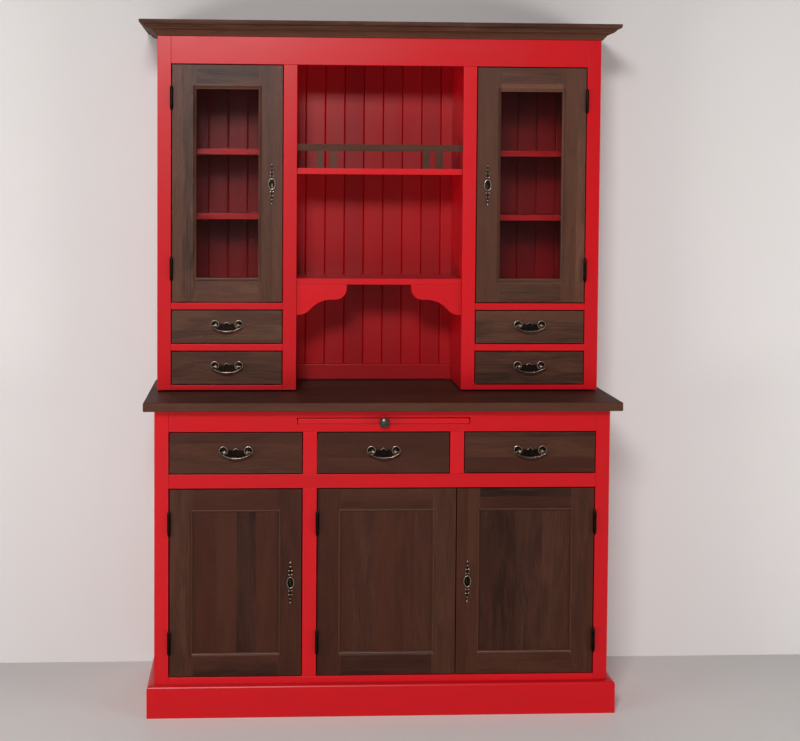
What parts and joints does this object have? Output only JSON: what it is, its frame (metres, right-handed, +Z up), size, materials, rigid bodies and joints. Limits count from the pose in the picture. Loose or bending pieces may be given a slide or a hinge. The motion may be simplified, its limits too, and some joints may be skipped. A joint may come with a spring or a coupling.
{
  "type": "kitchen buffet cabinet",
  "caption": "Painted kitchen buffet with stained worktop: base with doors, drawers and a pull-out board, and a hutch with glazed doors, small drawers and an open niche.",
  "frame": {"origin": "on the floor, under the middle of the cabinet's overall box", "axes": "+X to the right seen from the front, +Y to the back, +Z up"},
  "size_m": [1.412, 0.46, 1.989],
  "materials": {
    "red_paint": "satin lacquer over planed softwood",
    "dark_stained_wood": "dark brown stained oak staves, satin",
    "pale_wood": "unfinished planed pine",
    "antique_bronze": "antiqued bronze, rubbed bright on the high spots",
    "clear_glass": "clear float glass"
  },
  "bodies": {
    "carcass": {"base_uprights": "red_paint", "base_decks": "red_paint", "base_back": "red_paint", "base_shelves": "red_paint", "base_face_frame": "red_paint", "plinth": "red_paint", "worktop": "dark_stained_wood", "drawer_guides": "pale_wood", "hutch_uprights": "red_paint", "hutch_top": "red_paint", "hutch_back": "red_paint", "hutch_stiles": "red_paint", "hutch_rails": "red_paint", "hutch_shelves": "red_paint", "shelf_brackets": "red_paint", "gallery": "dark_stained_wood", "cornice": "dark_stained_wood", "hinge_frame_leaves": "antique_bronze"},
    "pull_out_board": {"pull_out_board": "red_paint", "board_knob": "antique_bronze"},
    "base_drawer_left": {"base_drawer_left_front": "dark_stained_wood", "base_drawer_left_box": "pale_wood", "base_drawer_left_pull": "antique_bronze"},
    "base_drawer_left_bail": {"base_drawer_left_bail": "antique_bronze"},
    "base_drawer_centre": {"base_drawer_centre_front": "dark_stained_wood", "base_drawer_centre_box": "pale_wood", "base_drawer_centre_pull": "antique_bronze"},
    "base_drawer_centre_bail": {"base_drawer_centre_bail": "antique_bronze"},
    "base_drawer_right": {"base_drawer_right_front": "dark_stained_wood", "base_drawer_right_box": "pale_wood", "base_drawer_right_pull": "antique_bronze"},
    "base_drawer_right_bail": {"base_drawer_right_bail": "antique_bronze"},
    "hutch_drawer_left_lower": {"hutch_drawer_left_lower_front": "dark_stained_wood", "hutch_drawer_left_lower_box": "pale_wood", "hutch_drawer_left_lower_pull": "antique_bronze"},
    "hutch_drawer_left_lower_bail": {"hutch_drawer_left_lower_bail": "antique_bronze"},
    "hutch_drawer_right_lower": {"hutch_drawer_right_lower_front": "dark_stained_wood", "hutch_drawer_right_lower_box": "pale_wood", "hutch_drawer_right_lower_pull": "antique_bronze"},
    "hutch_drawer_right_lower_bail": {"hutch_drawer_right_lower_bail": "antique_bronze"},
    "hutch_drawer_left_upper": {"hutch_drawer_left_upper_front": "dark_stained_wood", "hutch_drawer_left_upper_box": "pale_wood", "hutch_drawer_left_upper_pull": "antique_bronze"},
    "hutch_drawer_left_upper_bail": {"hutch_drawer_left_upper_bail": "antique_bronze"},
    "hutch_drawer_right_upper": {"hutch_drawer_right_upper_front": "dark_stained_wood", "hutch_drawer_right_upper_box": "pale_wood", "hutch_drawer_right_upper_pull": "antique_bronze"},
    "hutch_drawer_right_upper_bail": {"hutch_drawer_right_upper_bail": "antique_bronze"},
    "base_door_left": {"base_door_left": "dark_stained_wood", "base_door_left_hardware": "antique_bronze"},
    "base_door_middle": {"base_door_middle": "dark_stained_wood", "base_door_middle_hardware": "antique_bronze"},
    "base_door_right": {"base_door_right": "dark_stained_wood", "base_door_right_hardware": "antique_bronze"},
    "glazed_door_left": {"glazed_door_left": "dark_stained_wood", "glazed_door_left_hardware": "antique_bronze", "glazed_door_left_glass": "clear_glass"},
    "glazed_door_right": {"glazed_door_right": "dark_stained_wood", "glazed_door_right_hardware": "antique_bronze", "glazed_door_right_glass": "clear_glass"}
  },
  "joints": [
    {"name": "pull_out_board_slide", "type": "slide", "parent": "carcass", "child": "pull_out_board", "axis": [0, -1, 0], "range_m": [0, 0.26]},
    {"name": "base_drawer_left_slide", "type": "slide", "parent": "carcass", "child": "base_drawer_left", "axis": [0, -1, 0], "range_m": [0, 0.3]},
    {"name": "base_drawer_left_bail_swing", "type": "hinge", "parent": "base_drawer_left", "child": "base_drawer_left_bail", "pos_m": [-0.42, -0.214, 0.7575], "axis": [-1, 0, 0], "range_deg": [0, 85]},
    {"name": "base_drawer_centre_slide", "type": "slide", "parent": "carcass", "child": "base_drawer_centre", "axis": [0, -1, 0], "range_m": [0, 0.3]},
    {"name": "base_drawer_centre_bail_swing", "type": "hinge", "parent": "base_drawer_centre", "child": "base_drawer_centre_bail", "pos_m": [0, -0.214, 0.7575], "axis": [-1, 0, 0], "range_deg": [0, 85]},
    {"name": "base_drawer_right_slide", "type": "slide", "parent": "carcass", "child": "base_drawer_right", "axis": [0, -1, 0], "range_m": [0, 0.3]},
    {"name": "base_drawer_right_bail_swing", "type": "hinge", "parent": "base_drawer_right", "child": "base_drawer_right_bail", "pos_m": [0.42, -0.214, 0.7575], "axis": [-1, 0, 0], "range_deg": [0, 85]},
    {"name": "hutch_drawer_left_lower_slide", "type": "slide", "parent": "carcass", "child": "hutch_drawer_left_lower", "axis": [0, -1, 0], "range_m": [0, 0.15]},
    {"name": "hutch_drawer_left_lower_bail_swing", "type": "hinge", "parent": "hutch_drawer_left_lower", "child": "hutch_drawer_left_lower_bail", "pos_m": [-0.451, -0.034, 0.976], "axis": [-1, 0, 0], "range_deg": [0, 85]},
    {"name": "hutch_drawer_right_lower_slide", "type": "slide", "parent": "carcass", "child": "hutch_drawer_right_lower", "axis": [0, -1, 0], "range_m": [0, 0.15]},
    {"name": "hutch_drawer_right_lower_bail_swing", "type": "hinge", "parent": "hutch_drawer_right_lower", "child": "hutch_drawer_right_lower_bail", "pos_m": [0.451, -0.034, 0.976], "axis": [-1, 0, 0], "range_deg": [0, 85]},
    {"name": "hutch_drawer_left_upper_slide", "type": "slide", "parent": "carcass", "child": "hutch_drawer_left_upper", "axis": [0, -1, 0], "range_m": [0, 0.15]},
    {"name": "hutch_drawer_left_upper_bail_swing", "type": "hinge", "parent": "hutch_drawer_left_upper", "child": "hutch_drawer_left_upper_bail", "pos_m": [-0.451, -0.034, 1.098], "axis": [-1, 0, 0], "range_deg": [0, 85]},
    {"name": "hutch_drawer_right_upper_slide", "type": "slide", "parent": "carcass", "child": "hutch_drawer_right_upper", "axis": [0, -1, 0], "range_m": [0, 0.15]},
    {"name": "hutch_drawer_right_upper_bail_swing", "type": "hinge", "parent": "hutch_drawer_right_upper", "child": "hutch_drawer_right_upper_bail", "pos_m": [0.451, -0.034, 1.098], "axis": [-1, 0, 0], "range_deg": [0, 85]},
    {"name": "base_door_left_swing", "type": "hinge", "parent": "carcass", "child": "base_door_left", "pos_m": [-0.60825, -0.2053, 0], "axis": [0, 0, -1], "range_deg": [0, 165]},
    {"name": "base_door_middle_swing", "type": "hinge", "parent": "carcass", "child": "base_door_middle", "pos_m": [-0.18825, -0.2053, 0], "axis": [0, 0, -1], "range_deg": [0, 165]},
    {"name": "base_door_right_swing", "type": "hinge", "parent": "carcass", "child": "base_door_right", "pos_m": [0.60825, -0.2053, 0], "axis": [0, 0, 1], "range_deg": [0, 165]},
    {"name": "glazed_door_left_swing", "type": "hinge", "parent": "carcass", "child": "glazed_door_left", "pos_m": [-0.61425, -0.0253, 0], "axis": [0, 0, -1], "range_deg": [0, 165]},
    {"name": "glazed_door_right_swing", "type": "hinge", "parent": "carcass", "child": "glazed_door_right", "pos_m": [0.61425, -0.0253, 0], "axis": [0, 0, 1], "range_deg": [0, 165]}
  ]
}
